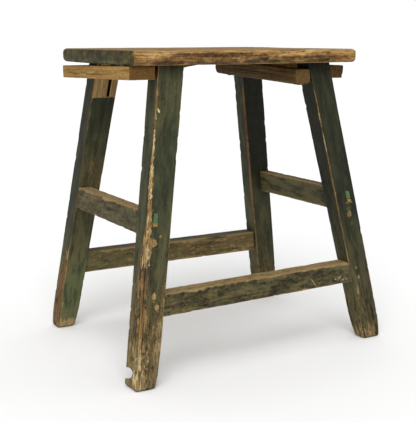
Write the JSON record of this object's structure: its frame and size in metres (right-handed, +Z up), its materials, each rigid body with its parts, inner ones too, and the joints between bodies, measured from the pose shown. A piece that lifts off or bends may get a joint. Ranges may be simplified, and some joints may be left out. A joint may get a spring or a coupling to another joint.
{
  "type": "farm stool",
  "caption": "Rectangular wooden farm stool: plank seat on splayed square legs, joined by low long rails and higher end rails, with repair strips nailed under the seat.",
  "frame": {"origin": "middle of the footprint of the four feet, on the floor", "axes": "+Z up, +X along the seat to the right as seen from the front, +Y from the front to the back"},
  "size_m": [0.4847, 0.3778, 0.501],
  "materials": {
    "worn_wood": "worn, bare along the edges, traces of old paint",
    "painted_wood": "old dark green paint, rubbed through on the corners",
    "new_wood": "bare, light, newer than the rest",
    "bare_wood": "bare, darkened with age",
    "nail_iron": "dull, rusted"
  },
  "bodies": {
    "root": {"seat": "worn_wood", "leg_front_left": "painted_wood", "leg_front_right": "painted_wood", "leg_back_left": "painted_wood", "leg_back_right": "painted_wood", "rail_front": "painted_wood", "rail_back": "painted_wood", "end_rail_left": "painted_wood", "end_rail_right": "painted_wood", "batten_left": "new_wood", "batten_right": "bare_wood", "cleat_right": "bare_wood", "corner_shim": "bare_wood", "leg_wedges": "new_wood", "long_rail_wedges": "new_wood", "end_rail_wedges": "new_wood", "batten_left_nails": "nail_iron", "batten_right_nails": "nail_iron", "cleat_nails": "nail_iron"}
  },
  "joints": []
}
